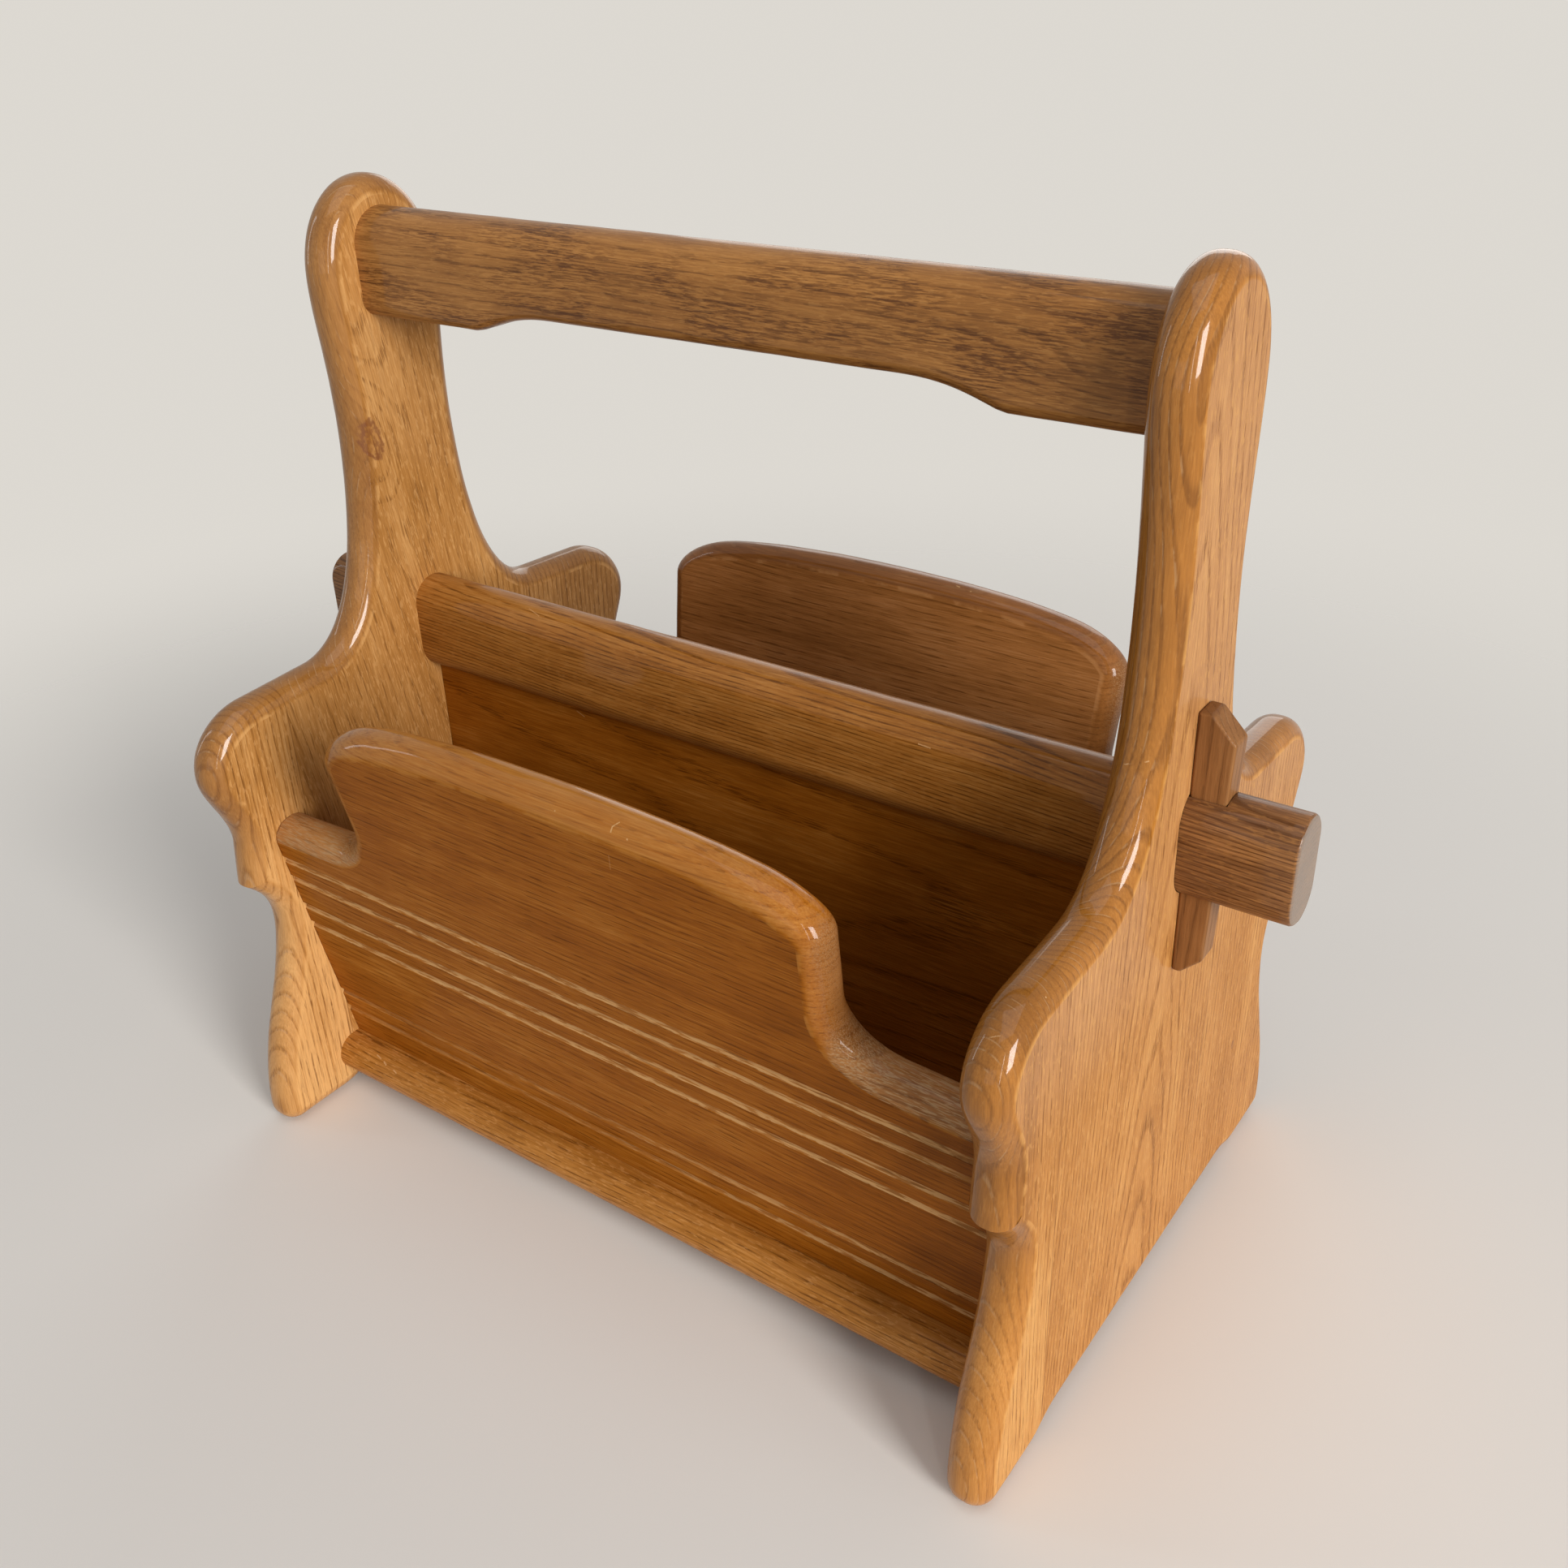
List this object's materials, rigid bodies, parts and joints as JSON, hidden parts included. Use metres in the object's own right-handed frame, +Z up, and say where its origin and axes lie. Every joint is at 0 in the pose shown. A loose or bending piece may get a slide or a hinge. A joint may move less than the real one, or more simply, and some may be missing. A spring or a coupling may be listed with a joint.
{
  "type": "magazine rack",
  "caption": "Oak magazine rack: shaped end panels, carrying handle, through-tenoned rail held by wedge keys, divider and slanted arched trough boards.",
  "frame": {"origin": "middle of the footprint on the floor", "axes": "+Z up, +X along the rack from its left end panel to its right one, -Y is its front"},
  "size_m": [0.508, 0.288, 0.442],
  "materials": {
    "panel_oak": "satin varnish",
    "board_oak": "satin varnish",
    "rail_oak": "satin varnish",
    "key_oak": "satin varnish",
    "dowel_wood": "bare"
  },
  "bodies": {
    "rack": {"left_panel_front_stave": "panel_oak", "left_panel_middle_stave": "panel_oak", "left_panel_back_stave": "panel_oak", "right_panel_front_stave": "panel_oak", "right_panel_middle_stave": "panel_oak", "right_panel_back_stave": "panel_oak", "handle_bar": "rail_oak", "centre_rail": "rail_oak", "divider_panel": "board_oak", "front_board": "board_oak", "back_board": "board_oak", "bottom_board": "board_oak", "handle_dowel_left_1": "dowel_wood", "handle_dowel_left_2": "dowel_wood", "handle_dowel_right_1": "dowel_wood", "handle_dowel_right_2": "dowel_wood", "front_dowel_left_1": "dowel_wood", "front_dowel_left_2": "dowel_wood", "front_dowel_right_1": "dowel_wood", "front_dowel_right_2": "dowel_wood", "back_dowel_left_1": "dowel_wood", "back_dowel_left_2": "dowel_wood", "back_dowel_right_1": "dowel_wood", "back_dowel_right_2": "dowel_wood", "floor_dowel_left_1": "dowel_wood", "floor_dowel_left_2": "dowel_wood", "floor_dowel_right_1": "dowel_wood", "floor_dowel_right_2": "dowel_wood"},
    "left_key": {"left_key": "key_oak"},
    "right_key": {"right_key": "key_oak"}
  },
  "joints": [
    {"name": "left_key_lift", "type": "slide", "parent": "rack", "child": "left_key", "axis": [0, 0, 1], "range_m": [0, 0.085]},
    {"name": "right_key_lift", "type": "slide", "parent": "rack", "child": "right_key", "axis": [0, 0, 1], "range_m": [0, 0.085]}
  ]
}
